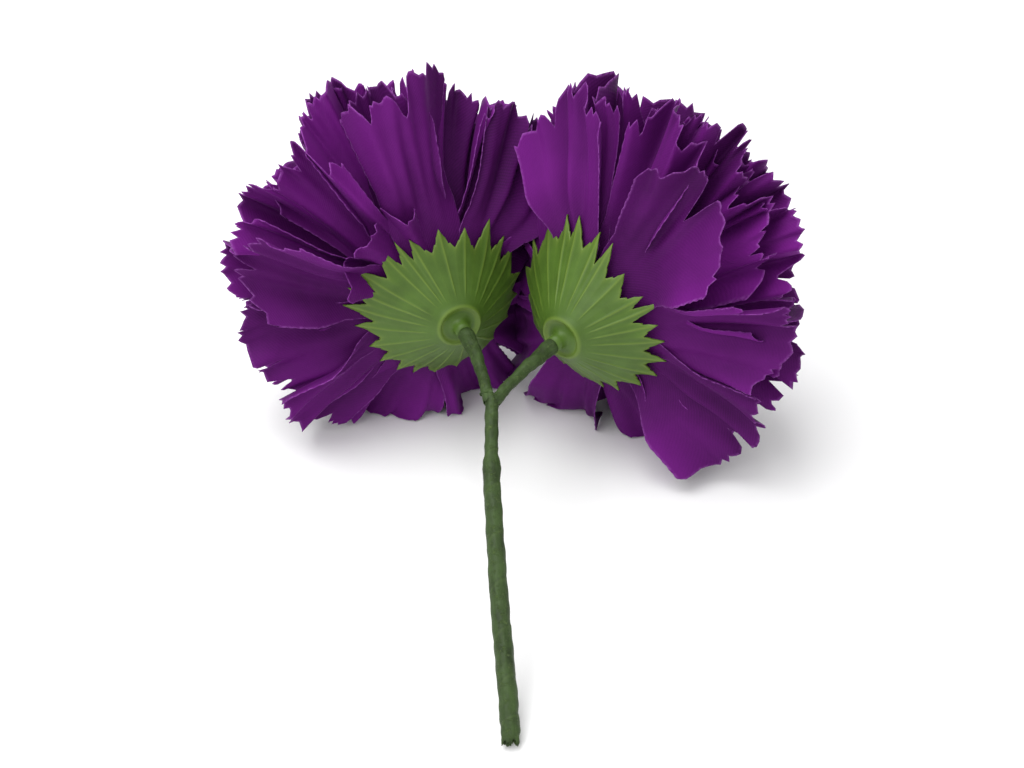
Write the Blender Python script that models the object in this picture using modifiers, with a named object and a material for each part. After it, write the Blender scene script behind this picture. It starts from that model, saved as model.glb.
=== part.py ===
"""Artificial carnation spray: two fabric heads on one taped wire stem, lying on a surface.

Metres, +Z up. The origin is on the surface, under the middle of the whole spray.
The stem lies along -Y and the two heads face away from it, towards +Y.
"""

import math

import bmesh
import bpy
from mathutils import Vector

MM = 0.001

# Stem and fork: the route runs from the fork to the cut end, in millimetres from the fork
FORK = Vector((-7.0, -4.1, 47.4)) * MM
STEM_ROUTE = ((0.3, 2.0, 0.9), (0.0, 0.0, 0.0), (-0.1, -13.0, -5.9), (0.2, -26.0, -11.8),
              (1.3, -43.0, -19.6), (2.5, -60.0, -27.3), (4.0, -76.0, -34.4), (5.4, -91.0, -41.0),
              (6.0, -100.0, -44.7))
STEM_RADIUS = 2.2
STEM_END_RADIUS = 2.9
THICKENING = (0.28, 0.42)
STEM_BORE = 1.87
FORK_WIDENING = 2.2
BRANCH_RADIUS = 1.8
BRANCH_COLLAR_RADIUS = 2.6
BRANCH_BORE = 1.05
TAPE_SIDES = 12
STEM_STATIONS = 10
BRANCH_STATIONS = 6
BRANCH_END = 0.835
WIRE_RADIUS = 0.7
WIRE_OFFSET = 0.9
WIRE_END = 0.99
WIRE_STATIONS = 16
WIRE_TOP = 0.5
BRANCH_CURVE = 10.0
BRANCH_SLIMMING = 1.4
BRANCH_START = 0.01
STEM_FORK_SHARE = 1 / 8
FORK_TAPER = 6.0

# One head, in millimetres: radius out from its axis, height along its axis from the calyx ring
PETAL_LAYERS = 7
PETALS_IN_LAYER = 9
LAYER_STEPS = 5
HEAD_RADIUS = 60.0
WIDEST_HEIGHT = 28.0
DOME_DEPTH = 42.0
DOME_ANGLE = math.radians(80)
DOME_FULLNESS = 0.8
OUTER_BEND = (19.0, 0.0, 22.5)
INNER_BEND = (4.5, 0.0, 38.0)
LAYER_PITCH = 0.9
FIRST_LAYER_HEIGHT = 3.9
DISC_RADIUS = 3.4
DISC_RISE = 0.3
SHEET_THICKNESS = 0.6
HOLE_RADIUS = 1.2
SLIT_SHARE = 0.14
SLIT_SHARPNESS = 3
RUFFLE = 1.8
RUFFLES = 3
LAYER_TWIST = 2.1
CENTER_PROFILE = ((0.0, 11.7), (1.6, 11.7), (4.2, 36.0), (14.0, 67.0), (10.5, 70.0), (0.0, 64.0))
CENTER_SIDES = 24
PEG_PROFILE = ((0.0, 11.4), (2.6, 11.4), (2.6, 10.2), (0.9, 10.2), (0.9, 0.9), (0.0, 0.9))
PEG_SIDES = 12

# Calyx, in the same millimetres
CALYX_TEETH = 20
TOOTH_NOTCH = (3.6, 2.7)
COLLAR_LENGTH = 4.0
CALYX_PROFILE = ((2.7, -4.0), (2.7, 0.4), (6.4, 1.6), (7.2, 1.0), (9.4, 2.2), (17.0, 8.4), (28.0, 17.0),
                 (27.8, 17.6), (16.6, 9.4), (9.4, 3.2), (1.2, 3.1), (1.2, -4.0), (2.7, -4.0))
CALYX_TIP_POINTS = (6, 7)

# How the heads crowd each other and rest on the surface
CROWDING = 0.24
CROWD_START = 30.0
CROWD_REACH = 30.0
CROWD_SHARPNESS = 2.5
OUTWARD_LEAN = 4.0
UPWARD_LEAN = 5.0
LEAN_START = 10.0
LEAN_REACH = 30.0
PRESS_HEIGHT = 6.0

COLOURS = {
    "petals": ((0.075, 0.006, 0.10, 1.0), 0.62, 0.0),
    "calyx": ((0.115, 0.20, 0.045, 1.0), 0.42, 0.0),
    "tape": ((0.085, 0.14, 0.05, 1.0), 0.6, 0.0),
    "peg": ((0.60, 0.66, 0.52, 1.0), 0.5, 0.0),
    "wire": ((0.35, 0.36, 0.36, 1.0), 0.35, 1.0),
}


class Head:
    """One flower head: where its calyx sits, which way it faces and which side its neighbour crowds."""

    def __init__(self, side, apex, axis, neighbour_angle, branch_foot):
        self.side = side
        self.outward = -math.cos(neighbour_angle)
        self.neighbour_angle = neighbour_angle
        self.apex = FORK + Vector(apex) * MM
        self.axis = Vector(axis).normalized()
        self.across = self.axis.cross(Vector((0, 0, 1))).normalized()
        self.up = self.across.cross(self.axis)
        self.branch_foot = Vector(branch_foot) * MM

    def on_axis(self, height):
        return self.apex + self.axis * height * MM

    def place(self, radius, angle, height):
        """World point of a place on the head, bent by the neighbour, the lean and the surface."""
        radius, height = self.crowded(radius, angle, height)
        out = self.across * math.cos(angle) + self.up * math.sin(angle)
        point = self.on_axis(height) + out * radius * MM
        share = eased((height - LEAN_START) / LEAN_REACH)
        point.x += self.outward * OUTWARD_LEAN * share * MM
        rise = max(-1.0, min(1.0, radius * math.sin(angle) / HEAD_RADIUS))
        point.z += UPWARD_LEAN * (1.0 + rise) * share * MM
        return pressed(point)

    def crowded(self, radius, angle, height):
        """Swings petals beside the other head forward, more the further out they reach."""
        reach = math.hypot(radius, height)
        beside = max(0.0, math.cos(angle - self.neighbour_angle)) ** CROWD_SHARPNESS
        swing = CROWDING * beside * eased((reach - CROWD_START) / CROWD_REACH)
        slope = math.atan2(radius, height) * (1.0 - swing)
        return reach * math.sin(slope), reach * math.cos(slope)

    def wire_foot(self):
        """Where this head's wire passes the fork, beside the other one."""
        return FORK + Vector((self.outward * WIRE_OFFSET * MM, 0.0, 0.0))

    def branch_point(self, share):
        """A place on the branch, from the calyx collar at 0 to the fork at 1."""
        collar = self.on_axis(-COLLAR_LENGTH)
        guide = collar - self.axis * BRANCH_CURVE * MM
        foot = self.wire_foot()
        return bezier((collar, guide, foot + self.branch_foot, foot), share)


HEADS = (
    Head("left", (-10.8, 36.2, 3.9), (-0.40, 0.92, 0.0), 0.0, (-1.0, 5.0, 2.4)),
    Head("right", (22.0, 28.2, 4.3), (0.63, 0.77, 0.04), math.pi, (3.0, 5.0, 2.0)),
)


def eased(share):
    share = max(0.0, min(1.0, share))
    return share * share * (3.0 - 2.0 * share)


def pressed(point):
    """Flattens what would reach the surface, so that it lies on it."""
    height = PRESS_HEIGHT * MM
    if point.z < height:
        point.z = height * math.exp((point.z - height) / height)
    return point


def bezier(points, share):
    """The point at a share of a Bezier curve of any degree."""
    points = [Vector(p) for p in points]
    while len(points) > 1:
        points = [a.lerp(b, share) for a, b in zip(points, points[1:])]
    return points[0]


def smooth_route(points, share):
    """The point at a share of a smooth curve through all the points."""
    points = [Vector(p) for p in points]
    position = share * (len(points) - 1)
    first = min(int(position), len(points) - 2)
    before = points[max(first - 1, 0)]
    after = points[min(first + 2, len(points) - 1)]
    start, stop = points[first], points[first + 1]
    part = position - first
    out = start + (stop - before) / 6
    back = stop - (after - start) / 6
    return bezier((start, out, back, stop), part)


def stem_point(share):
    """A place on the main stem's middle, from just above the fork at 0 to the cut end at 1."""
    return FORK + smooth_route(STEM_ROUTE, share) * MM


def clear_scene():
    for thing in list(bpy.data.objects):
        bpy.data.objects.remove(thing, do_unlink=True)


def material(name):
    colour, roughness, metallic = COLOURS[name]
    made = bpy.data.materials.new(name)
    made.use_nodes = True
    shader = made.node_tree.nodes["Principled BSDF"]
    shader.inputs["Base Color"].default_value = colour
    shader.inputs["Roughness"].default_value = roughness
    shader.inputs["Metallic"].default_value = metallic
    return made


def add_object(name, data, finish, collection):
    thing = bpy.data.objects.new(name, data)
    data.materials.append(finish)
    collection.objects.link(thing)
    return thing


def rolled_grid(name, around, along, place):
    """A grid rolled up by place(turn, run), both from 0 to 1, with its seam and poles joined."""
    bm = bmesh.new()
    bmesh.ops.create_grid(bm, x_segments=around, y_segments=along, size=0.5)
    for vertex in bm.verts:
        vertex.co = place(vertex.co.x + 0.5, vertex.co.y + 0.5)
    bmesh.ops.remove_doubles(bm, verts=bm.verts, dist=1e-6)
    bmesh.ops.dissolve_degenerate(bm, edges=bm.edges, dist=1e-7)
    bmesh.ops.recalc_face_normals(bm, faces=bm.faces)
    mesh = bpy.data.meshes.new(name)
    bm.to_mesh(mesh)
    bm.free()
    mesh.shade_smooth()
    return mesh


def layer_profile(layer, step, slit):
    """Radius and height of a petal layer at a step outwards: hole edge, flat disc, then flaring bowl."""
    share = layer / PETAL_LAYERS
    base = FIRST_LAYER_HEIGHT + LAYER_PITCH * layer
    if step == 0:
        return HOLE_RADIUS, base
    run = (step - 1) / (LAYER_STEPS - 1)
    run *= 1.0 - SLIT_SHARE * slit * run
    swing = DOME_ANGLE * share
    rim_radius = HEAD_RADIUS * math.cos(swing) ** DOME_FULLNESS
    disc = (DISC_RADIUS + LAYER_PITCH * (PETAL_LAYERS - 1 - layer), 0.0, base + DISC_RISE)
    bend = Vector(OUTER_BEND).lerp(Vector(INNER_BEND), share)
    rim = (rim_radius, 0.0, WIDEST_HEIGHT + DOME_DEPTH * math.sin(swing))
    point = bezier((disc, bend, rim), run)
    return point.x, point.z


def add_petal_layer(head, layer, finish, collection):
    """One die-cut round of joined petals, threaded on the peg and spread as a ruffled bowl."""

    def place(turn, run):
        angle = 2.0 * math.pi * turn + layer / PETALS_IN_LAYER
        slit = abs(math.cos(math.pi * PETALS_IN_LAYER * turn)) ** SLIT_SHARPNESS
        step = round(run * LAYER_STEPS)
        radius, height = layer_profile(layer, step, slit)
        swell = RUFFLE * (step / LAYER_STEPS) ** 3
        height += swell * math.sin(RUFFLES * angle + LAYER_TWIST * layer)
        return head.place(radius, angle, height)

    sheet = rolled_grid("petal_sheet", PETALS_IN_LAYER * 3, LAYER_STEPS, place)
    layer_object = add_object(f"{head.side}_petal_layer_{layer + 1}", sheet, finish, collection)
    solidify = layer_object.modifiers.new("thickness", "SOLIDIFY")
    solidify.thickness = SHEET_THICKNESS * MM
    solidify.offset = 0.0
    solidify.use_even_offset = True
    solidify.use_quality_normals = True


def add_center_petals(head, finish, collection):
    """The innermost petals, gathered into one tuft over the peg's head."""

    def place(turn, run):
        radius, height = CENTER_PROFILE[round(run * (len(CENTER_PROFILE) - 1))]
        return head.place(radius, 2.0 * math.pi * turn, height)

    tuft = rolled_grid("tuft", CENTER_SIDES, len(CENTER_PROFILE) - 1, place)
    add_object(f"{head.side}_center_petals", tuft, finish, collection)


def add_calyx(head, finish, collection):
    """A moulded cup with a collar tube, a raised ring and pointed teeth."""

    def place(turn, run):
        step = round(run * (len(CALYX_PROFILE) - 1))
        radius, height = CALYX_PROFILE[step]
        between_teeth = round(turn * CALYX_TEETH * 2) % 2
        if step in CALYX_TIP_POINTS and between_teeth:
            radius -= TOOTH_NOTCH[0]
            height -= TOOTH_NOTCH[1]
        return head.place(radius, 2.0 * math.pi * turn, height)

    cup = rolled_grid("calyx_cup", CALYX_TEETH * 2, len(CALYX_PROFILE) - 1, place)
    add_object(f"{head.side}_calyx", cup, finish, collection)


def add_peg(head, finish, collection):
    """A turned pin with a flat head that holds the petal layers against the calyx."""
    outline = bpy.data.meshes.new("peg_outline")
    points = [(radius * MM, 0.0, height * MM) for radius, height in PEG_PROFILE]
    outline.from_pydata(points, [(i, i + 1) for i in range(len(points) - 1)], [])
    peg = add_object(f"{head.side}_petal_peg", outline, finish, collection)
    screw = peg.modifiers.new("turn", "SCREW")
    screw.steps = PEG_SIDES
    screw.render_steps = PEG_SIDES
    screw.use_merge_vertices = True
    screw.merge_threshold = 0.00001
    peg.location = head.apex
    peg.rotation_mode = "QUATERNION"
    peg.rotation_quaternion = head.axis.to_track_quat("Z", "Y")


def add_sleeve(name, stations, section, finish, collection):
    """A sleeve of wound tape with open ends; section(share) gives its middle, radii and widening."""
    shares = [i / (stations - 1) for i in range(stations)]
    rings = [(share, 0) for share in shares] + [(share, 1) for share in reversed(shares)]
    rings.append(rings[0])

    def place(turn, run):
        share, wall = rings[round(run * (len(rings) - 1))]
        middle, radii, widening = section(share)
        tangent = section(min(share + 0.01, 1.0))[0] - section(max(share - 0.01, 0.0))[0]
        side = tangent.cross(Vector((0.0, 0.0, 1.0))).normalized()
        over = side.cross(tangent).normalized()
        angle = 2.0 * math.pi * turn
        offset = side * math.cos(angle) * (radii[wall] + widening)
        return middle + (offset + over * math.sin(angle) * radii[wall]) * MM

    sleeve = rolled_grid("tape_sleeve", TAPE_SIDES, len(rings) - 1, place)
    add_object(name, sleeve, finish, collection)


def add_stem_tape(finish, collection):
    """Tape wound round both wires: thicker below a step, and wider at the fork to hold both branches."""

    def section(share):
        fork_share = max(0.0, 1.0 - share * FORK_TAPER)
        start, stop = THICKENING
        outside = STEM_RADIUS + (STEM_END_RADIUS - STEM_RADIUS) * eased((share - start) / (stop - start))
        return stem_point(share), (outside, STEM_BORE), FORK_WIDENING * fork_share ** 2

    add_sleeve("main_stem_tape", STEM_STATIONS, section, finish, collection)


def add_branch_tape(head, finish, collection):
    """Tape wound round one branch, from the calyx collar to just above the fork."""

    def section(share):
        slimmed = eased(share * BRANCH_SLIMMING)
        outside = BRANCH_COLLAR_RADIUS + (BRANCH_RADIUS - BRANCH_COLLAR_RADIUS) * slimmed
        middle = head.branch_point(BRANCH_START + (BRANCH_END - BRANCH_START) * share)
        return middle, (outside, BRANCH_BORE), 0.0

    add_sleeve(f"{head.side}_branch_tape", BRANCH_STATIONS, section, finish, collection)


def add_wire(head, finish, collection):
    """A steel wire from inside the calyx collar, down the branch and the main stem."""
    offset = head.wire_foot() - FORK
    points = [head.on_axis(WIRE_TOP)]
    points += [head.branch_point(i / WIRE_STATIONS) for i in range(WIRE_STATIONS)]
    first = STEM_FORK_SHARE
    for i in range(WIRE_STATIONS + 1):
        points.append(stem_point(first + (WIRE_END - first) * i / WIRE_STATIONS) + offset)
    curve = bpy.data.curves.new("wire", "CURVE")
    curve.dimensions = "3D"
    curve.bevel_depth = WIRE_RADIUS * MM
    curve.bevel_resolution = 2
    curve.use_fill_caps = True
    spline = curve.splines.new("POLY")
    spline.points.add(len(points) - 1)
    for target, point in zip(spline.points, points):
        target.co = (*point, 1.0)
    add_object(f"{head.side}_stem_wire", curve, finish, collection)


def main():
    clear_scene()
    spray = bpy.data.collections.new("carnation_spray")
    bpy.context.scene.collection.children.link(spray)
    finishes = {name: material(name) for name in COLOURS}
    for head in HEADS:
        add_calyx(head, finishes["calyx"], spray)
        add_peg(head, finishes["peg"], spray)
        for layer in range(PETAL_LAYERS):
            add_petal_layer(head, layer, finishes["petals"], spray)
        add_center_petals(head, finishes["petals"], spray)
        add_wire(head, finishes["wire"], spray)
        add_branch_tape(head, finishes["tape"], spray)
    add_stem_tape(finishes["tape"], spray)


main()
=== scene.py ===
"""Artificial carnation spray: fabric petals, moulded calyxes and a taped stem, made round the frame."""

import math

import bpy
import numpy as np
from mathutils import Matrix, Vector


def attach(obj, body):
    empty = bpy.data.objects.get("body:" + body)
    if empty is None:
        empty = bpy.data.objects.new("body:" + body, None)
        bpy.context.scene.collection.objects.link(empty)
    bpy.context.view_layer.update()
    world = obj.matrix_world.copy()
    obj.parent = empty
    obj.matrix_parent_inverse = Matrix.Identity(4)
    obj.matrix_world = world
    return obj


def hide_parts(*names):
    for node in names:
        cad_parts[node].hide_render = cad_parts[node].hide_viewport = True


bl_info = {
    "name": "Carnation Spray Maker",
    "version": (1, 0, 0),
    "blender": (4, 5, 0),
    "location": "View3D > Sidebar > Carnation",
    "description": "Makes an artificial carnation spray: ruffled petals, calyxes, taped stem and studio",
    "category": "Object",
}

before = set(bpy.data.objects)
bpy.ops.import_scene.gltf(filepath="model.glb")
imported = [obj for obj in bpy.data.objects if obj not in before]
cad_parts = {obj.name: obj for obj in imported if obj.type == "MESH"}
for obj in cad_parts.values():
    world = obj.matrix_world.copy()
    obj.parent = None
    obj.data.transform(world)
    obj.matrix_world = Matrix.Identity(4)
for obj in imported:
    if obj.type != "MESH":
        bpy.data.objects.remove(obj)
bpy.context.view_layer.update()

MM = 0.001

# Where the fork of the stem is, and how the two heads sit on it, in millimetres. These are the CAD's
# values, apart from CROWDING and UPWARD_LEAN, which open the cloth out and lift it a few millimetres more, and
# CLEARANCE, which keeps it off the surface.
FORK = np.array((-7.0, -4.1, 47.4))
STEM_ROUTE = np.array(((0.3, 2.0, 0.9), (0.0, 0.0, 0.0), (-0.1, -13.0, -5.9), (0.2, -26.0, -11.8),
                       (1.3, -43.0, -19.6), (2.5, -60.0, -27.3), (4.0, -76.0, -34.4),
                       (5.4, -91.0, -41.0), (6.0, -100.0, -44.7)))
HEAD_RADIUS = 60.0
WIDEST_HEIGHT = 28.0
DOME_DEPTH = 42.0
DOME_ANGLE = math.radians(80)
DOME_FULLNESS = 0.8
OUTER_BEND = np.array((19.0, 22.5))
INNER_BEND = np.array((4.5, 38.0))
PETAL_LAYERS = 7
LAYER_PITCH = 0.9
FIRST_LAYER_HEIGHT = 3.9
DISC_RADIUS = 3.4
DISC_RISE = 0.3
HOLE_RADIUS = 1.3
COLLAR_LENGTH = 4.0
BRANCH_CURVE = 10.0
WIRE_OFFSET = 0.9
CROWDING = 0.16
CROWD_START = 30.0
CROWD_REACH = 30.0
CROWD_SHARPNESS = 2.5
OUTWARD_LEAN = 4.0
UPWARD_LEAN = 7.0
LEAN_START = 10.0
LEAN_REACH = 30.0
PRESS_HEIGHT = 6.0
CLEARANCE = 0.3

# Petals, in millimetres
PETAL_WIDTH = 46.0
CLAW_WIDTH = 4.0
CLOTH = 0.26
PETALS_IN_ROUND = 9
FREE_START = 26.0
FREE_REACH = 24.0

# Petals, as shares: how much the folds are deepened, how far in the rim's cuts reach, and the least width
# that a row may be drawn in to
RELIEF = 1.3
RIM_START = 0.62
LEAST_WIDTH = 0.84

# The curve of a layer, in steps up to its rim and past it
CURVE_STEPS = 60
STEPS_PAST_RIM = 15

# Center petals, in millimetres
CENTER_RINGS = ((5, 0.35), (5, 0.75))
CENTER_STEPS = 80
CENTER_RIM_STEP = 72

# Calyx, in millimetres
CALYX_RADIUS = 28.0
CALYX_DEPTH = 17.0
TOOTH_STEPS = 14
CALYX_WALL = 0.7
COLLAR_POINTS = 11
CUP_ROWS = 26

# Tape, in millimetres
TAPE_PITCH = 11.7
TAPE_WALL = 0.3
RING_SPACING = 0.42
RING_POINTS = 56
STEM_TAPE_LENGTH = 111.0
BRANCH_TAPE_LENGTH = 33.0


def eased(share):
    """A smooth step from 0 to 1."""
    share = np.clip(share, 0.0, 1.0)
    return share * share * (3.0 - 2.0 * share)


class Head:
    """One flower head: where its calyx sits, which way it faces and which side its neighbour crowds."""

    def __init__(self, side, apex, axis, neighbour_angle, branch_foot):
        self.side = side
        self.outward = -math.cos(neighbour_angle)
        self.neighbour_angle = neighbour_angle
        self.apex = FORK + np.array(apex)
        self.axis = np.array(axis) / np.linalg.norm(axis)
        across = np.cross(self.axis, (0.0, 0.0, 1.0))
        self.across = across / np.linalg.norm(across)
        self.up = np.cross(self.across, self.axis)
        self.branch_foot = np.array(branch_foot)

    def on_axis(self, height):
        return self.apex + self.axis * height

    def place(self, radius, angle, height):
        """World points, in millimetres, bent by the neighbour, the lean and the surface."""
        reach = np.hypot(radius, height)
        beside = np.maximum(0.0, np.cos(angle - self.neighbour_angle)) ** CROWD_SHARPNESS
        swing = CROWDING * beside * eased((reach - CROWD_START) / CROWD_REACH)
        slope = np.arctan2(radius, height) * (1.0 - swing)
        radius, height = reach * np.sin(slope), reach * np.cos(slope)
        out = np.multiply.outer(np.cos(angle), self.across) + np.multiply.outer(np.sin(angle), self.up)
        point = self.apex + np.multiply.outer(height, self.axis) + out * np.asarray(radius)[..., None]
        share = eased((height - LEAN_START) / LEAN_REACH)
        rise = np.clip(radius * np.sin(angle) / HEAD_RADIUS, -1.0, 1.0)
        point[..., 0] += self.outward * OUTWARD_LEAN * share
        point[..., 2] += UPWARD_LEAN * (1.0 + rise) * share
        low = point[..., 2] < PRESS_HEIGHT
        pressed = PRESS_HEIGHT * np.exp((point[..., 2] - PRESS_HEIGHT) / PRESS_HEIGHT)
        point[..., 2] = np.where(low, pressed, point[..., 2]) + CLEARANCE
        return point

    def branch_point(self, share):
        """A place on the branch, from the calyx collar at 0 to the fork at 1."""
        collar = self.on_axis(-COLLAR_LENGTH)
        guide = collar - self.axis * BRANCH_CURVE
        foot = FORK + np.array((self.outward * WIRE_OFFSET, 0.0, 0.0))
        return bezier((collar, guide, foot + self.branch_foot, foot), share)


def bezier(points, share):
    """The place at share along the curve that the points guide."""
    points = [np.asarray(p, float) for p in points]
    while len(points) > 1:
        points = [a + (b - a) * share for a, b in zip(points, points[1:])]
    return points[0]


def stem_point(share):
    """A place on the main stem's middle, from just above the fork at 0 to the cut end at 1."""
    position = share * (len(STEM_ROUTE) - 1)
    first = min(int(position), len(STEM_ROUTE) - 2)
    before = STEM_ROUTE[max(first - 1, 0)]
    after = STEM_ROUTE[min(first + 2, len(STEM_ROUTE) - 1)]
    start, stop = STEM_ROUTE[first], STEM_ROUTE[first + 1]
    curve = (start, start + (stop - before) / 6, stop - (after - start) / 6, stop)
    return FORK + bezier(curve, position - first)


HEADS = {
    "left": Head("left", (-10.8, 36.2, 3.9), (-0.40, 0.92, 0.0), 0.0, (-1.0, 5.0, 2.4)),
    "right": Head("right", (22.0, 28.2, 4.3), (0.63, 0.77, 0.04), math.pi, (3.0, 5.0, 2.0)),
}


# Node maths, written as expressions


class Wire:
    """A node socket that takes part in Python expressions by adding Math nodes."""

    def __init__(self, tree, socket):
        self.tree = tree
        self.socket = socket

    def maths(self, operation, *values):
        return self.tree.node("ShaderNodeMath", {"operation": operation}, *values)

    def __add__(self, other):
        return self.maths("ADD", self, other)

    __radd__ = __add__

    def __mul__(self, other):
        return self.maths("MULTIPLY", self, other)

    __rmul__ = __mul__

    def __sub__(self, other):
        return self.maths("SUBTRACT", self, other)

    def __rsub__(self, other):
        return self.maths("SUBTRACT", other, self)

    def __pow__(self, other):
        return self.maths("POWER", self, other)

    def clamped(self):
        return self.maths("MINIMUM", self.maths("MAXIMUM", self, 0.0), 1.0)


class Finish:
    """A material's node tree round one Principled shader."""

    def __init__(self, name, **constants):
        self.material = bpy.data.materials.new(name)
        self.material.use_nodes = True
        self.nodes = self.material.node_tree.nodes
        self.links = self.material.node_tree.links
        self.shader = self.nodes["Principled BSDF"]
        for socket, value in constants.items():
            self.shader.inputs[socket.replace("_", " ")].default_value = value

    def node(self, kind, settings=None, *values, output=0, **named):
        """Adds a node, sets it, fills its sockets by order or by name, and gives one output."""
        made = self.nodes.new(kind)
        for key, value in (settings or {}).items():
            setattr(made, key, value)
        for index, value in [*enumerate(values), *named.items()]:
            socket = made.inputs[index.replace("_", " ") if isinstance(index, str) else index]
            if isinstance(value, Wire):
                self.links.new(value.socket, socket)
            elif value is not None:
                socket.default_value = value
        return Wire(self, made.outputs[output])

    def mixed(self, factor, first, second):
        """A colour from first to second as factor goes from 0 to 1."""
        made = self.nodes.new("ShaderNodeMix")
        made.data_type = "RGBA"
        for index, value in ((0, factor), (6, first), (7, second)):
            if isinstance(value, Wire):
                self.links.new(value.socket, made.inputs[index])
            else:
                made.inputs[index].default_value = value
        return Wire(self, made.outputs[2])

    def attribute(self, name):
        return self.node("ShaderNodeAttribute", {"attribute_name": name}, output=2)

    def place(self):
        """Places on the object."""
        return self.node("ShaderNodeTexCoord", output=3)

    def flat_place(self):
        """Places on the flat pattern."""
        return self.node("ShaderNodeTexCoord", output=2)

    def noise(self, scale, detail=4.0, roughness=0.55, vector=None):
        vector = vector or self.place()
        return self.node("ShaderNodeTexNoise", None, Vector=vector, Scale=scale, Detail=detail,
                         Roughness=roughness)

    def ramp(self, value, low, high):
        """Value stretched so that low gives 0 and high gives 1."""
        return self.node("ShaderNodeMapRange", {"clamp": True}, value, low, high, 0.0, 1.0)

    def bump(self, height, distance, strength=1.0, under=None):
        return self.node("ShaderNodeBump", None, Strength=strength, Distance=distance, Height=height,
                         Normal=under)

    def feed(self, **sockets):
        for name, value in sockets.items():
            self.links.new(value.socket, self.shader.inputs[name.replace("_", " ")])
        return self.material


def colour(red, green, blue):
    return (red, green, blue, 1.0)


def petal_finish(look):
    """Dyed satin: fine diagonal weave, faint sheen, painted shade in folds and near the root, paler frayed
    edge.
    """
    made = Finish("petal_satin", Roughness=0.6, Sheen_Weight=0.10, Sheen_Roughness=0.4,
                  Sheen_Tint=colour(0.70, 0.20, 0.85), Specular_IOR_Level=0.08)
    # Painted shade and light: deep is a shaded copy and lit is a lit copy of the petal colour. They are mixed
    # by a random cloud and by an attribute that holds each petal's random tone plus painted shade in the folds
    # and near the root.
    deep = colour(*[c * 0.34 for c in look.petal_colour])
    lit = colour(*[min(1.0, c * 1.30) for c in look.petal_colour])
    cloudy = made.ramp(made.noise(38.0, 5.0), 0.35, 0.68)
    body = made.mixed((cloudy * 0.30 + made.attribute("tone_and_shade") * 0.85).clamped(), deep, lit)
    threads = made.node("ShaderNodeTexWave", {"wave_type": "BANDS", "bands_direction": "DIAGONAL"},
                        Vector=made.flat_place(), Scale=620.0, Distortion=1.2, Detail=1.0,
                        Detail_Scale=2.0)
    cross = made.node("ShaderNodeTexWave", {"wave_type": "BANDS", "bands_direction": "X"},
                      Vector=made.flat_place(), Scale=900.0, Distortion=0.8, Detail=1.0)
    weave = threads * 0.65 + cross * 0.35
    body = made.mixed(weave * 0.22, body, lit)
    frayed = made.attribute("fray") ** 1.6 * made.ramp(made.noise(900.0, 2.0), 0.30, 0.62)
    body = made.mixed((frayed * 0.55).clamped(), body, colour(*look.fray_colour))
    soft = made.bump(made.noise(260.0, 3.0), 0.0004, 0.35)
    normal = made.bump(weave, 0.00010, 0.5, under=soft)
    return made.feed(Base_Color=body, Normal=normal)


def calyx_finish(look):
    """Moulded green plastic: paler ribs and tooth edges, faint mottling and a soft gloss."""
    made = Finish("calyx_plastic", Specular_IOR_Level=0.3)
    base = colour(*look.calyx_colour)
    deep = colour(*[c * 0.72 for c in look.calyx_colour])
    pale = colour(look.calyx_colour[0] * 1.9, look.calyx_colour[1] * 1.5, look.calyx_colour[2] * 1.7)
    mottled = made.mixed(made.ramp(made.noise(120.0, 6.0), 0.3, 0.7), deep, base)
    ribbed = made.mixed((made.attribute("rib") * 0.75).clamped(), mottled, pale)
    edged = made.mixed((made.attribute("edge") ** 2.0 * 0.7).clamped(), ribbed, pale)
    rough = made.ramp(made.noise(300.0, 3.0), 0.0, 1.0) * 0.16 + 0.33
    grain = made.bump(made.noise(700.0, 4.0), 0.00008, 0.35)
    return made.feed(Base_Color=edged, Roughness=rough, Normal=grain)


def tape_finish(look):
    """Waxed crepe tape: mottled greens, fine pale creases and darker lap seams."""
    made = Finish("floral_tape", Specular_IOR_Level=0.22)
    base = colour(*look.tape_colour)
    deep = colour(*[c * 0.42 for c in look.tape_colour])
    pale = colour(look.tape_colour[0] * 1.95, look.tape_colour[1] * 1.7, look.tape_colour[2] * 1.8)
    flat = made.flat_place()
    stretched = made.node("ShaderNodeMapping", None, Vector=flat, Scale=(9.0, 1.6, 1.0))
    streaks = made.noise(60.0, 6.0, 0.65, stretched)
    clouds = made.noise(150.0, 4.0)
    body = made.mixed(made.ramp(streaks * 0.5 + clouds * 0.5, 0.38, 0.60), deep, base)
    creases = made.ramp(made.noise(520.0, 6.0, 0.75), 0.54, 0.68)
    body = made.mixed((creases * 0.75).clamped(), body, pale)
    body = made.mixed((made.attribute("seam") * 0.45).clamped(), body, deep)
    body = made.mixed((made.attribute("lip") * 0.22).clamped(), body, pale)
    rough = made.ramp(clouds, 0.2, 0.8) * 0.22 + 0.42
    crepe = made.bump(creases, 0.0004, 0.6)
    fine = made.bump(made.noise(900.0, 3.0), 0.00012, 0.5, under=crepe)
    return made.feed(Base_Color=body, Roughness=rough, Normal=fine)


def peg_finish():
    """Pale natural plastic with faint flow marks."""
    made = Finish("peg_plastic", Specular_IOR_Level=0.45)
    cloud = made.ramp(made.noise(500.0, 4.0), 0.3, 0.7)
    body = made.mixed(cloud, colour(0.50, 0.55, 0.42), colour(0.66, 0.70, 0.58))
    return made.feed(Base_Color=body, Roughness=cloud * 0.15 + 0.4)


def wire_finish():
    """Drawn steel wire with spots of dull oxide."""
    made = Finish("drawn_wire", Metallic=1.0)
    spots = made.ramp(made.noise(900.0, 5.0), 0.45, 0.65)
    body = made.mixed(spots, colour(0.42, 0.42, 0.41), colour(0.20, 0.18, 0.16))
    return made.feed(Base_Color=body, Roughness=spots * 0.25 + 0.3)


# Cloth petals


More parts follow.
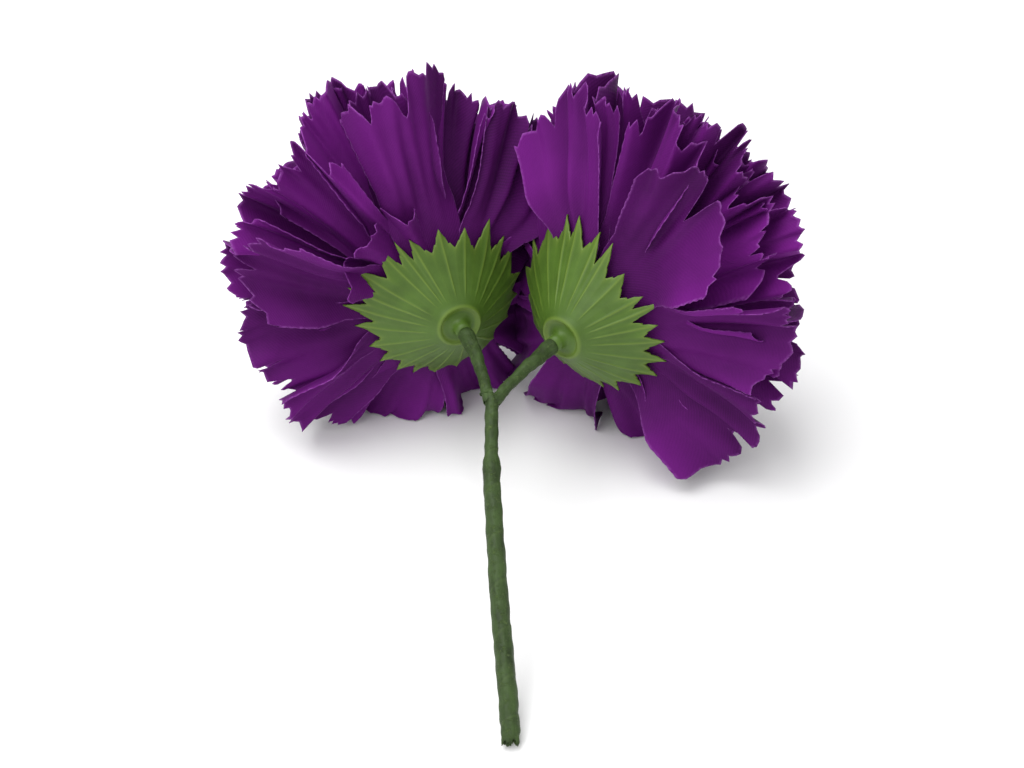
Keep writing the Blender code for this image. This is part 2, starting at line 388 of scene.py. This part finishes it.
class PetalShape:
    """How one petal of a round is cut and how it lies.

    Length, width and squeeze are shares of the round's own. Cup, tilt, ruffle, stack, curl and fold are how
    far the cloth leaves the round, in millimetres, with plus towards the calyx. Relief deepens them all.
    """

    def __init__(self, angle, length=1.0, width=1.0, cup=2.0, tilt=1.5, ruffle=2.5, waves=1.6, stack=0.0,
                 curl=0.0, notch=0.0, fold=0.0, squeeze=1.0, slits=3, relief=RELIEF):
        self.angle = math.radians(angle)
        self.length = length
        self.width = width
        self.cup = cup
        self.tilt = tilt
        self.ruffle = ruffle
        self.waves = waves
        self.stack = stack
        self.curl = curl
        self.notch = notch
        self.fold = fold
        self.squeeze = squeeze
        self.slits = slits
        self.relief = relief


def profile_curve(points, rim_step):
    """A profile's points, the length run to each, the outward normal there and the length to its rim."""
    steps = np.linalg.norm(np.diff(points, axis=0), axis=1)
    lengths = np.concatenate([[0.0], np.cumsum(steps)])
    tangents = np.gradient(points, axis=0)
    tangents /= np.linalg.norm(tangents, axis=1)[:, None]
    normals = np.stack([tangents[:, 1], -tangents[:, 0]], axis=1)
    return points, lengths, normals, lengths[rim_step]


def layer_curve(layer):
    """A layer's profile as radius and height, from its hole to its rim and straight on past it."""
    share = layer / PETAL_LAYERS
    swing = DOME_ANGLE * share
    base = FIRST_LAYER_HEIGHT + LAYER_PITCH * layer
    disc = np.array((DISC_RADIUS + LAYER_PITCH * (PETAL_LAYERS - 1 - layer), base + DISC_RISE))
    bend = OUTER_BEND + (INNER_BEND - OUTER_BEND) * share
    rim = np.array((HEAD_RADIUS * math.cos(swing) ** DOME_FULLNESS,
                    WIDEST_HEIGHT + DOME_DEPTH * math.sin(swing)))
    points = [np.array((HOLE_RADIUS, base))]
    points += [bezier((disc, bend, rim), t) for t in np.linspace(0.0, 1.0, CURVE_STEPS)]
    last = points[-1] - points[-2]
    points += [points[-1] + last * k for k in range(1, STEPS_PAST_RIM + 1)]
    return profile_curve(np.array(points), CURVE_STEPS)


def center_curve(spread):
    """A center petal's profile, nearly upright, opening more as spread grows."""
    guides = np.array([(1.2, 11.9), (1.8 + spread, 20.0), (2.5 + 3 * spread, 34.0),
                       (3.0 + 9.0 * spread, 58.0), (3.5 + 12.0 * spread, 68.0),
                       (4.0 + 14.0 * spread, 72.0)])
    fine = np.linspace(0, 5, CENTER_STEPS)
    points = np.stack([np.interp(fine, np.arange(6), guides[:, i]) for i in (0, 1)], axis=1)
    return profile_curve(points, CENTER_RIM_STEP)


def cut_outline(shape, across, rng, size):
    """The length of a petal at each place across it, with uneven teeth, lobes, slits and a notch."""
    count = len(across)
    rounding = 0.11 * np.abs(across) ** 2.4
    outline = 1.0 - rounding - shape.notch * np.exp(-(across / 0.13) ** 2)
    places, depths = [-1], [1.0]
    while places[-1] < count:
        places.append(places[-1] + int(rng.integers(1, 4)))
        depths.append(rng.uniform(0.9, 2.8) if len(places) % 2 else rng.uniform(-0.6, 0.4))
    teeth = np.interp(np.arange(count), places, depths)
    lobes = 2.6 * np.abs(np.sin(across * rng.uniform(2.4, 4.2) + rng.uniform(0.0, 3.0))) ** 0.7
    cuts = np.zeros(count)
    for place in rng.choice(np.arange(4, count - 4), size=shape.slits, replace=False):
        apart = np.abs(np.arange(count) - place) / rng.uniform(1.1, 2.6)
        cuts = np.maximum(cuts, rng.uniform(3.0, 8.5) * np.maximum(0.0, 1.0 - apart))
    return outline * size - teeth + lobes - 1.5 - cuts


def petal_area(x, y):
    """The flat pattern's area, summed over the grid's cells."""
    wide = 0.5 * (np.diff(x, axis=1)[:-1] + np.diff(x, axis=1)[1:])
    tall = 0.5 * (np.diff(y, axis=0)[:, :-1] + np.diff(y, axis=0)[:, 1:])
    return float(np.sum(wide * tall))


def petal_points(head, curve, shape, rng, columns, rows, tone_and_shade):
    """One petal: its points in millimetres, its flat pattern, its frayed edge and its colour field with
    painted shade.
    """
    points, lengths, normals, rim_length = curve
    size = rim_length * shape.length
    across = np.linspace(-1.0, 1.0, columns)
    across = np.sign(across) * np.abs(across) ** 0.92
    along = np.concatenate([np.linspace(0.0, 0.984, rows - 1), [1.0]])
    outline = cut_outline(shape, across, rng, size)
    u, v = np.meshgrid(across, along)
    start = RIM_START * size
    rim_share = (v - RIM_START) / (1.0 - RIM_START)
    y = np.where(v < RIM_START, v * size, start + rim_share * (outline[None, :] - start))
    reach = y / size
    width = (CLAW_WIDTH + (PETAL_WIDTH * shape.width - CLAW_WIDTH) * reach ** 0.95)
    pinking = 1.0 - 0.018 * (np.arange(rows) % 2)[:, None] * (np.abs(u) > 0.999)
    x = u * width / 2 * pinking
    radius = np.interp(y, lengths, points[:, 0])
    height = np.interp(y, lengths, points[:, 1])
    normal_r = np.interp(y, lengths, normals[:, 0])
    normal_h = np.interp(y, lengths, normals[:, 1])
    phase = rng.uniform(0.0, 6.28, 4)
    free = eased((y - FREE_START) / FREE_REACH)
    lift = shape.stack * free + shape.cup * (u * u - 0.3) * free + shape.tilt * u * free
    lift = lift + shape.ruffle * reach ** 2.2 * np.sin(shape.waves * math.pi * u + phase[0] + reach)
    lift = lift + 0.45 * shape.ruffle * reach ** 5 * np.sin(3.7 * math.pi * u + phase[1])
    lift = lift + 0.22 * shape.ruffle * reach ** 9 * np.sin(8.3 * math.pi * u + phase[2])
    lift = lift + 0.8 * np.sin(5.0 * u + phase[3]) * free * (1.3 - reach)
    lift = lift + shape.curl * np.maximum(0.0, reach - 0.62) ** 2 * 9.0
    pleats = np.sin(11.0 * u + phase[1]) + 0.6 * np.sin(19.0 * u + phase[2])
    lift = lift + 0.42 * pleats * free * (0.4 + 0.6 * reach)
    lift = lift + shape.fold * np.exp(-((u - 0.15 * reach) / 0.13) ** 2) * free * (1.3 - reach)
    lift = lift * np.where(lift > 0.0, shape.relief, 1.0 + 0.5 * (shape.relief - 1.0))
    # Painted shade: the colour field below follows the fold relief and darkens towards the root, standing in
    # for the shade that falls in the folds and deep in the head; each petal's random tone is added in.
    folds = 0.055 * (lift - lift.mean(axis=1, keepdims=True))
    shade = np.clip(0.15 + 0.75 * tone_and_shade + folds, 0.0, 1.0) * (0.25 + 0.75 * eased((y - 24.0) / 30.0))
    # Each row is drawn in towards the length it was cut to, but stops at LEAST_WIDTH of where it began, so
    # deeply ruffled cloth stays somewhat larger than its cut
    gather = shape.squeeze
    for _ in range(5):
        angle = shape.angle + x * gather / np.maximum(radius, 5.0)
        place = head.place(radius + lift * normal_r, angle, height + lift * normal_h)
        spans = np.linalg.norm(np.diff(place, axis=1), axis=2).sum(axis=1)
        gather = np.clip(gather * ((x[:, -1] - x[:, 0]) / spans)[:, None], LEAST_WIDTH * shape.squeeze, 1.0)
    fray = np.zeros_like(u)
    fray[-1, :] = 1.0
    fray[rows // 5:, 0] = 1.0
    fray[rows // 5:, -1] = 1.0
    area = petal_area(x, y) * MM * MM
    flat = np.stack([x, y], axis=-1) * MM
    return place, flat, fray, shade, area


def mesh_piece(name, corners, quads, values, flats=None):
    """A smooth mesh of points in metres, with its values at each point and, if given, its flat pattern."""
    mesh = bpy.data.meshes.new(name)
    mesh.from_pydata(corners.tolist(), [], quads.tolist())
    if flats is not None:
        pattern = mesh.uv_layers.new(name="flat_pattern")
        pattern.data.foreach_set("uv", flats[quads.ravel()].ravel())
    for label, rows in values.items():
        layer = mesh.attributes.new(label, "FLOAT", "POINT")
        layer.data.foreach_set("value", np.concatenate(rows).astype(np.float32))
    piece = bpy.data.objects.new(name, mesh)
    bpy.context.scene.collection.objects.link(piece)
    mesh.shade_smooth()
    return piece


def sheet_object(name, patches, columns, rows):
    """One mesh of several cloth patches."""
    index = np.arange(rows * columns).reshape(rows, columns)
    cell = np.stack([index[:-1, :-1], index[:-1, 1:], index[1:, 1:], index[1:, :-1]], axis=-1).reshape(-1, 4)
    corners, flats, frays, tones_and_shades, quads = [], [], [], [], []
    for number, (place, flat, fray, tone_and_shade) in enumerate(patches):
        corners.append(place.reshape(-1, 3) * MM)
        flats.append(flat.reshape(-1, 2))
        frays.append(fray.ravel())
        tones_and_shades.append(tone_and_shade.ravel())
        quads.append(cell + number * rows * columns)
    # Besides the frayed edge, each point carries its petal's random tone plus painted shade from the folds and
    # the root.
    return mesh_piece(name, np.concatenate(corners), np.concatenate(quads), {"fray": frays, "tone_and_shade": tones_and_shades},
                      np.concatenate(flats))


def apply_thickness(piece, thickness, offset):
    """Gives a surface its wall, in metres: offset 0 grows both ways and -1 against the faces."""
    wall = piece.modifiers.new("wall", "SOLIDIFY")
    wall.thickness = thickness
    wall.offset = offset
    bpy.context.view_layer.objects.active = piece
    piece.select_set(True)
    bpy.ops.object.modifier_apply(modifier=wall.name)
    piece.select_set(False)


# The back rounds as they lie, listed one by one. Each petal gives its angle, from the side across the head to
# the top, then its length, width, cup, tilt, ruffle and waves.
BACK_ROUNDS = {
    ("left", 0): (
        PetalShape(8, 0.96, 0.95, 3.0, 2.0, 2.4, stack=1.0),
        PetalShape(46, 1.08, 1.0, 6.0, -4.5, 2.6, 1.0, stack=3.4, curl=-2.0, fold=2.6, slits=2),
        PetalShape(95, 1.16, 1.15, -6.5, 3.0, 2.0, 1.2, stack=0.4, notch=0.15, fold=-3.2, slits=1),
        PetalShape(131, 0.66, 1.0, 5.0, 3.5, 4.2, 2.4, stack=2.8, curl=3.5, fold=2.2, slits=1),
        PetalShape(161, 1.08, 0.95, 7.5, -3.0, 2.2, 1.0, stack=4.0, curl=-2.0, slits=2),
        PetalShape(192, 1.08, 0.95, 5.0, 3.5, 3.0, 1.4, stack=1.0, fold=-2.0, slits=2),
        PetalShape(219, 1.10, 1.0, 7.0, -3.5, 2.6, 1.1, stack=3.4, fold=2.0, slits=2),
        PetalShape(252, 1.04, 1.0, 4.5, 3.0, 3.0, 1.6, stack=0.6, slits=3),
        PetalShape(290, 1.10, 1.05, 3.0, -2.0, 3.0, 1.5, stack=2.0, slits=2),
        PetalShape(330, 1.12, 1.05, 2.5, 2.0, 3.0, 1.5, stack=0.4, slits=2),
    ),
    ("right", 0): (
        PetalShape(108, 1.10, 0.85, 5.0, 3.0, 2.2, 1.0, stack=2.0, fold=4.5, slits=1),
        PetalShape(54, 1.10, 1.2, 6.0, -3.0, 2.0, 1.0, stack=4.2, notch=0.13, curl=2.5, fold=-3.0, slits=1),
        PetalShape(8, 1.10, 1.05, 6.0, 3.0, 2.2, 1.0, stack=1.8, slits=2),
        PetalShape(-29, 1.12, 1.1, 7.0, -3.5, 2.6, 1.1, stack=4.0, fold=2.0, slits=2),
        PetalShape(-68, 1.10, 1.05, 6.0, 3.0, 2.8, 1.3, stack=1.0, slits=2),
        PetalShape(-106, 1.24, 1.0, 5.0, -3.0, 3.0, 1.4, stack=5.0, slits=3),
        PetalShape(-146, 1.26, 1.05, 3.0, 2.0, 3.0, 1.5, stack=4.6, slits=2),
        PetalShape(-178, 1.0, 1.0, 3.0, 2.0, 3.0, 1.5, stack=2.0, slits=2),
        PetalShape(146, 1.02, 1.0, 3.0, -2.0, 3.0, 1.5, stack=0.6, slits=2),
    ),
}


def round_shapes(side, layer, rng):
    """The petals of a round: listed at the back, and drawn by rule further in."""
    if (side, layer) in BACK_ROUNDS:
        return BACK_ROUNDS[side, layer]
    share = layer / (PETAL_LAYERS - 1)
    shapes = []
    start = rng.uniform(0.0, 40.0)
    for number in range(PETALS_IN_ROUND):
        angle = start + 360.0 * (number + rng.uniform(-0.18, 0.18)) / PETALS_IN_ROUND
        shapes.append(PetalShape(
            angle, rng.uniform(1.0, 1.12), rng.uniform(0.85, 1.02), rng.uniform(2.0, 6.0),
            rng.uniform(-6.0, 6.0), rng.uniform(4.0, 6.5) + 1.6 * share, rng.uniform(1.3, 2.2) + 1.4 * share,
            stack=(number % 2) * 2.4, curl=rng.uniform(-2.5, 2.5), fold=rng.uniform(-3.0, 3.0),
            squeeze=1.0 - 0.42 * share, slits=int(rng.integers(1, 4)), relief=1.05 - 0.35 * share))
    return shapes


def make_round(head, layer, look):
    """A die-cut fabric round, spread, ruffled and threaded on the peg."""
    rng = np.random.default_rng(100 * (head.side == "right") + layer + 7)
    curve = layer_curve(layer)
    columns, rows = (53, 30) if layer < 3 else (41, 22)
    patches, total = [], 0.0
    for shape in round_shapes(head.side, layer, rng):
        *patch, area = petal_points(head, curve, shape, rng, columns, rows, rng.uniform(0.0, 1.0))
        patches.append(patch)
        total += area
    name = f"{head.side}_petal_layer_{layer + 1}"
    piece = sheet_object(f"{name}_cloth", patches, columns, rows)
    apply_thickness(piece, CLOTH * MM, 0.0)
    piece.data.materials.append(look)
    finish_piece(piece, name)


def make_center(head, look):
    """The innermost round, gathered into a tuft of upright, tightly ruffled petals."""
    rng = np.random.default_rng(31 + len(head.side))
    patches, total = [], 0.0
    columns, rows = 33, 18
    for ring, (count, spread) in enumerate(CENTER_RINGS):
        curve = center_curve(spread)
        for number in range(count):
            shape = PetalShape(360.0 * (number + 0.5 * ring) / count, rng.uniform(0.92, 1.02), 0.62,
                               1.0, 1.5, 2.6, 3.0, squeeze=0.35, slits=3, relief=1.0)
            *patch, area = petal_points(head, curve, shape, rng, columns, rows, rng.uniform(0.0, 1.0))
            patches.append(patch)
            total += area
    name = f"{head.side}_center_petals"
    piece = sheet_object(f"{name}_cloth", patches, columns, rows)
    apply_thickness(piece, CLOTH * MM, 0.0)
    piece.data.materials.append(look)
    finish_piece(piece, name)


# Calyx

# Each tooth as its angle round the head in degrees and its reach, 1 being the cup's own radius
TEETH = {
    "left": ((6, 1.06), (23, 1.12), (36, 1.08), (50, 1.13), (72, 0.99), (91, 0.99), (112, 1.00),
             (121, 1.05), (132, 1.13), (150, 1.14), (162, 1.16), (174, 1.18), (188, 1.09), (204, 1.02),
             (220, 1.05), (235, 1.04), (251, 1.10), (266, 1.22), (282, 1.14), (297, 1.26), (312, 1.12),
             (330, 1.10), (348, 1.08)),
    "right": ((3, 1.04), (16, 1.00), (28, 1.11), (38, 0.97), (58, 0.95), (76, 1.08), (87, 1.10),
              (105, 1.17), (115, 1.18), (131, 1.16), (152, 1.16), (173, 1.14), (191, 1.08), (209, 1.07),
              (227, 1.08), (244, 1.11), (262, 1.04), (280, 1.03), (298, 0.98), (314, 1.05), (330, 1.07),
              (346, 1.08)),
}
CALYX_CURVE = ((2.65, -4.0), (2.7, -1.5), (2.8, 0.1), (3.6, 0.9), (5.2, 1.35), (6.2, 1.25), (6.7, 0.75),
               (7.2, 0.55), (7.7, 0.85), (8.2, 1.7), (9.6, 2.6), (13.0, 5.2), (17.0, 8.5), (20.0, 10.8),
               (23.0, 13.1), (26.0, 15.4), (28.0, 17.0))


def make_calyx(head, look):
    """A ribbed cup with a raised ring, a short collar tube and pointed, slightly torn teeth."""
    rng = np.random.default_rng(5 + len(head.side))
    teeth = TEETH[head.side]
    curve = np.array(CALYX_CURVE)
    columns, reaches, ribs, tips = [], [], [], []
    for number, (angle, reach) in enumerate(teeth):
        after = teeth[(number + 1) % len(teeth)]
        span = (after[0] - angle) % 360
        notch = min(reach, after[1]) * rng.uniform(0.76, 0.86)
        skew = rng.uniform(0.40, 0.60)
        for step in range(TOOTH_STEPS):
            share = step / TOOTH_STEPS
            fall = share / skew if share < skew else (1.0 - share) / (1.0 - skew)
            start = reach if share < skew else after[1]
            nick = 0.022 * (step in (3, 10)) * rng.uniform(0.4, 1.6)
            columns.append(angle + span * share)
            reaches.append(start + (notch - start) * fall ** 0.85 - nick)
            ribs.append(math.exp(-(min(share, 1.0 - share) * span / 0.95) ** 2)
                        + 0.10 * math.exp(-((share - 0.5) * span / 1.2) ** 2))
            tips.append(math.exp(-((min(share, 1.0 - share) * span) / 2.0) ** 2))
    columns, reaches, ribs, tips = map(np.array, (columns, reaches, ribs, tips))
    outer_shares = np.linspace(0.0, 1.0, CUP_ROWS)[1:]
    shape_rows = []
    for radius, height in curve[:COLLAR_POINTS]:
        shape_rows.append((np.full(len(columns), radius), np.full(len(columns), height), 0.0, 0.0))
    start = curve[COLLAR_POINTS - 1]
    for share in outer_shares:
        slant = np.array((CALYX_RADIUS, CALYX_DEPTH)) * reaches[:, None]
        radius = start[0] + (slant[:, 0] - start[0]) * share
        height = np.interp(radius, curve[COLLAR_POINTS - 1:, 0], curve[COLLAR_POINTS - 1:, 1])
        height = height + np.maximum(0.0, radius - CALYX_RADIUS) * 0.75
        shape_rows.append((radius, height, min(1.0, share * 6.0), share))
    place, rib_map, edge_map = [], [], []
    angle = np.radians(columns)
    for radius, height, strength, share in shape_rows:
        raise_by = 0.30 * ribs * strength
        wave = 0.5 * np.sin(angle * 5.0 + 1.0) * share ** 2 + 0.35 * np.sin(angle * 11.0) * share ** 3
        flare = -1.3 * tips * max(0.0, share - 0.8) * 5.0 * (0.4 + 0.6 * np.sin(angle * 7.0) ** 2)
        lift = raise_by + wave - flare * 0.6
        place.append(head.place(radius + lift * 0.5, angle, height - lift * 0.8))
        rib_map.append(ribs * strength + (0.8 if 5.5 < radius[0] < 8.0 and share == 0.0 else 0.0))
        edge_map.append(np.full(len(angle), share ** 8))
    rows, count = len(place), len(columns)
    index = np.arange(rows * count).reshape(rows, count)
    after = np.roll(index, -1, axis=1)
    quads = np.stack([index[:-1], after[:-1], after[1:], index[1:]], axis=-1).reshape(-1, 4)
    name = f"{head.side}_calyx"
    piece = mesh_piece(f"{name}_moulding", np.concatenate(place) * MM, quads,
                       {"rib": rib_map, "edge": edge_map})
    turn_outward(piece, head)
    apply_thickness(piece, CALYX_WALL * MM, -1.0)
    piece.data.materials.append(look)
    finish_piece(piece, name)


def turn_outward(piece, head):
    """Makes the cup's faces point back along its axis, so that the wall grows inward."""
    mesh = piece.data
    facing = sum(Vector(face.normal).dot(Vector(-head.axis)) * face.area for face in mesh.polygons)
    if facing < 0:
        mesh.flip_normals()


# Tape


def wound_tube(cad_node, route, radius, length, finish, seed, flatness=None, widening=None):
    """A tube of wound tape: lapped seams on a spiral, puckers between them and a ragged far end."""
    rng = np.random.default_rng(seed)
    stations = int(length / RING_SPACING)
    around = RING_POINTS
    phase = rng.uniform(0.0, 6.28, 12)
    angle = np.linspace(0.0, 2.0 * math.pi, around, endpoint=False)
    place, seams, lips, flats = [], [], [], []
    for station in range(stations + 1):
        share = station / stations
        middle = route(share)
        tangent = route(min(share + 0.004, 1.0)) - route(max(share - 0.004, 0.0))
        tangent /= np.linalg.norm(tangent)
        side = np.cross(tangent, (0.0, 0.0, 1.0))
        side /= np.linalg.norm(side)
        over = np.cross(side, tangent)
        run = share * length
        turn = (run / TAPE_PITCH + angle / (2 * math.pi) + 0.10 * np.sin(angle + phase[0])) % 1.0
        step = 0.22 * (1.0 - turn) - 0.08
        puckers = 0.0
        for k in range(5):
            puckers = puckers + np.sin(angle * (3 + 2 * k) + run * (0.7 - 0.25 * k) + phase[k]) / (2.2 + k)
        lumps = 0.10 * np.sin(run * 0.55 + angle + phase[6])
        lumps = lumps + 0.07 * np.sin(run * 1.3 - 2 * angle + phase[7])
        outside = radius(share) + step * 0.55 + 0.055 * puckers + lumps
        wide = widening(share) if widening else 0.0
        end = flatness(share) if flatness else 1.0
        ring = middle + np.multiply.outer(np.cos(angle) * (outside + wide), side)
        ring = ring + np.multiply.outer(np.sin(angle) * outside * end, over)
        place.append(ring)
        seams.append(np.exp(-((turn - 0.985) / 0.02) ** 2) + np.exp(-((turn + 0.015) / 0.02) ** 2))
        lips.append(np.exp(-((turn - 0.045) / 0.03) ** 2))
        flats.append(np.stack([angle * 2.5 * MM, np.full(around, run * MM)], axis=1))
    ragged = 1.1 * np.abs(np.sin(angle * 2.5 + phase[8])) + rng.uniform(0.0, 0.9, around)
    place[-1] = place[-1] + np.multiply.outer(ragged, tangent)
    rows = len(place)
    index = np.arange(rows * around).reshape(rows, around)
    after = np.roll(index, -1, axis=1)
    quads = np.stack([index[:-1], index[1:], after[1:], after[:-1]], axis=-1).reshape(-1, 4)
    piece = mesh_piece(f"{cad_node}_wound", np.concatenate(place) * MM, quads,
                       {"seam": seams, "lip": lips}, np.concatenate(flats))
    apply_thickness(piece, TAPE_WALL * MM, -1.0)
    piece.data.materials.append(finish)
    finish_piece(piece, cad_node)


def stem_radius(share):
    """Slim under the fork, stepping up where more turns of tape lie, and slimmer again at the end."""
    step = eased((share - 0.285) / 0.035)
    swell = 0.16 * eased((share - 0.38) / 0.3)
    end = -0.25 * eased((share - 0.93) / 0.07)
    return 2.12 + 0.55 * step + swell + end + 0.30 * math.exp(-((share - 0.335) / 0.012) ** 2)


def make_stem_tape(look):
    """The tape from the fork to the cut end, widest where both wires leave it and flattened at the end."""
    def flatness(share):
        return 1.0 - 0.30 * float(eased((share - 0.90) / 0.10))

    def widening(share):
        return 2.0 * max(0.0, 1.0 - share * 7.0) ** 2

    wound_tube("main_stem_tape", stem_point, stem_radius, STEM_TAPE_LENGTH, look, 3, flatness, widening)


def make_branch_tape(head, look):
    """The tape on one branch, thickest at the calyx's collar."""
    def radius(share):
        return 2.62 - 0.75 * float(eased(share * 1.5)) + 0.18 * math.exp(-((share - 0.05) / 0.05) ** 2)

    def route(share):
        return head.branch_point(0.005 + 0.93 * share)

    wound_tube(f"{head.side}_branch_tape", route, radius, BRANCH_TAPE_LENGTH, look, 11 + len(head.side))


def finish_piece(piece, cad_node):
    """Hangs a piece on the root body and hides the CAD node that it stands for."""
    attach(piece, "root")
    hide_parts(cad_node)


# The maker's panel


class CarnationLook(bpy.types.PropertyGroup):
    """Colours, lights and floor that a user would change"""

    petal_colour: bpy.props.FloatVectorProperty(
        name="Petal colour", description="Dye of the satin petals", subtype="COLOR", size=3, min=0.0,
        max=1.0, default=(0.108, 0.0075, 0.138))
    fray_colour: bpy.props.FloatVectorProperty(
        name="Frayed edge colour", description="Threads along the cut edges of the petals",
        subtype="COLOR", size=3, min=0.0, max=1.0, default=(0.34, 0.10, 0.42))
    calyx_colour: bpy.props.FloatVectorProperty(
        name="Calyx colour", description="Moulded plastic of the calyxes", subtype="COLOR", size=3,
        min=0.0, max=1.0, default=(0.070, 0.138, 0.017))
    tape_colour: bpy.props.FloatVectorProperty(
        name="Tape colour", description="Waxed tape round the stem", subtype="COLOR", size=3, min=0.0,
        max=1.0, default=(0.046, 0.082, 0.022))
    key_light: bpy.props.FloatProperty(
        name="Key light", description="Power of the large lamp overhead", default=7.6, min=0.0,
        unit="POWER")
    room_light: bpy.props.FloatProperty(
        name="Room light", description="Strength of the even white light all round", default=0.80,
        min=0.0)
    floor_size: bpy.props.FloatProperty(
        name="Floor size", description="Side of the white floor", default=6.0, min=1.0, unit="LENGTH")


class CARNATION_OT_petals(bpy.types.Operator):
    """Make every fabric round of both heads"""

    bl_idname = "carnation.petals"
    bl_label = "Petals"

    def execute(self, context):
        look = petal_finish(context.scene.carnation_look)
        for head in HEADS.values():
            for layer in range(PETAL_LAYERS):
                make_round(head, layer, look)
            make_center(head, look)
        return {"FINISHED"}


class CARNATION_OT_calyxes(bpy.types.Operator):
    """Make the two moulded calyxes"""

    bl_idname = "carnation.calyxes"
    bl_label = "Calyxes"

    def execute(self, context):
        look = calyx_finish(context.scene.carnation_look)
        for head in HEADS.values():
            make_calyx(head, look)
        return {"FINISHED"}


class CARNATION_OT_tape(bpy.types.Operator):
    """Wind the tape round the stem and the branches"""

    bl_idname = "carnation.tape"
    bl_label = "Stem tape"

    def execute(self, context):
        look = tape_finish(context.scene.carnation_look)
        make_stem_tape(look)
        for head in HEADS.values():
            make_branch_tape(head, look)
        return {"FINISHED"}


class CARNATION_OT_core(bpy.types.Operator):
    """Give the pegs and the wires inside their own materials"""

    bl_idname = "carnation.core"
    bl_label = "Pegs and wires"

    def execute(self, context):
        finishes = {"petal_peg": peg_finish(), "stem_wire": wire_finish()}
        for side in HEADS:
            for part, material in finishes.items():
                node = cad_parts[f"{side}_{part}"]
                node.data.materials.clear()
                node.data.materials.append(material)
        return {"FINISHED"}


class CARNATION_OT_studio(bpy.types.Operator):
    """Make the white floor, the soft lamps and the camera"""

    bl_idname = "carnation.studio"
    bl_label = "Studio"

    def execute(self, context):
        look = context.scene.carnation_look
        bpy.ops.object.select_all(action="DESELECT")
        bpy.ops.mesh.primitive_plane_add(size=look.floor_size)
        floor = context.object
        floor.name = "white_floor"
        paper = Finish("white_paper", Roughness=0.9, Specular_IOR_Level=0.1)
        shade = paper.ramp(paper.noise(3.0), 0.0, 1.0)
        paper.feed(Base_Color=paper.mixed(shade, colour(0.93, 0.93, 0.935), colour(0.95, 0.95, 0.95)))
        floor.data.materials.append(paper.material)
        world = bpy.data.worlds.new("white_room")
        world.use_nodes = True
        world.node_tree.nodes["Background"].inputs["Color"].default_value = (1.0, 1.0, 1.0, 1.0)
        world.node_tree.nodes["Background"].inputs["Strength"].default_value = look.room_light
        context.scene.world = world
        add_lamp("overhead_lamp", (-0.30, 0.00, 0.95), (0.0, 0.04, 0.05), 0.8, look.key_light)
        add_lamp("front_lamp", (-0.55, -0.75, 0.70), (0.0, 0.0, 0.05), 0.5, look.key_light * 0.35)
        add_camera(context)
        context.scene.view_settings.view_transform = "Standard"
        return {"FINISHED"}


def add_lamp(name, place, target, size, power):
    bpy.ops.object.light_add(type="AREA", location=place)
    lamp = bpy.context.object
    lamp.name = name
    lamp.data.size = size
    lamp.data.energy = power
    lamp.rotation_euler = (Vector(target) - Vector(place)).to_track_quat("-Z", "Y").to_euler()


def add_camera(context):
    """The camera looks down on the lying spray from the stem's side."""
    place = Vector(FORK * MM) + Vector((6.35, -407.6, 303.2)) * MM
    bpy.ops.object.camera_add(location=place, rotation=(math.radians(54.0), 0.0, 0.0))
    camera = context.object
    camera.name = "studio_camera"
    camera.data.lens = 56.25
    camera.data.sensor_width = 36.0
    camera.data.clip_start = 0.01
    context.scene.camera = camera


class CARNATION_PT_panel(bpy.types.Panel):
    """Steps of the carnation spray, in the order they are made"""

    bl_label = "Carnation spray"
    bl_idname = "CARNATION_PT_panel"
    bl_space_type = "VIEW_3D"
    bl_region_type = "UI"
    bl_category = "Carnation"

    def draw(self, context):
        look = context.scene.carnation_look
        for name in ("petal_colour", "fray_colour", "calyx_colour", "tape_colour", "key_light",
                     "room_light", "floor_size"):
            self.layout.prop(look, name)
        for step in STEPS:
            self.layout.operator(step.bl_idname)


STEPS = (CARNATION_OT_calyxes, CARNATION_OT_petals, CARNATION_OT_tape, CARNATION_OT_core,
         CARNATION_OT_studio)
CLASSES = (CarnationLook, *STEPS, CARNATION_PT_panel)


def register():
    for item in CLASSES:
        bpy.utils.register_class(item)
    bpy.types.Scene.carnation_look = bpy.props.PointerProperty(type=CarnationLook)


def unregister():
    del bpy.types.Scene.carnation_look
    for item in reversed(CLASSES):
        bpy.utils.unregister_class(item)


def main():
    register()
    bpy.ops.object.select_all(action="DESELECT")
    bpy.ops.carnation.calyxes()
    bpy.ops.carnation.petals()
    bpy.ops.carnation.tape()
    bpy.ops.carnation.core()
    bpy.ops.carnation.studio()


if __name__ == "__main__":
    main()
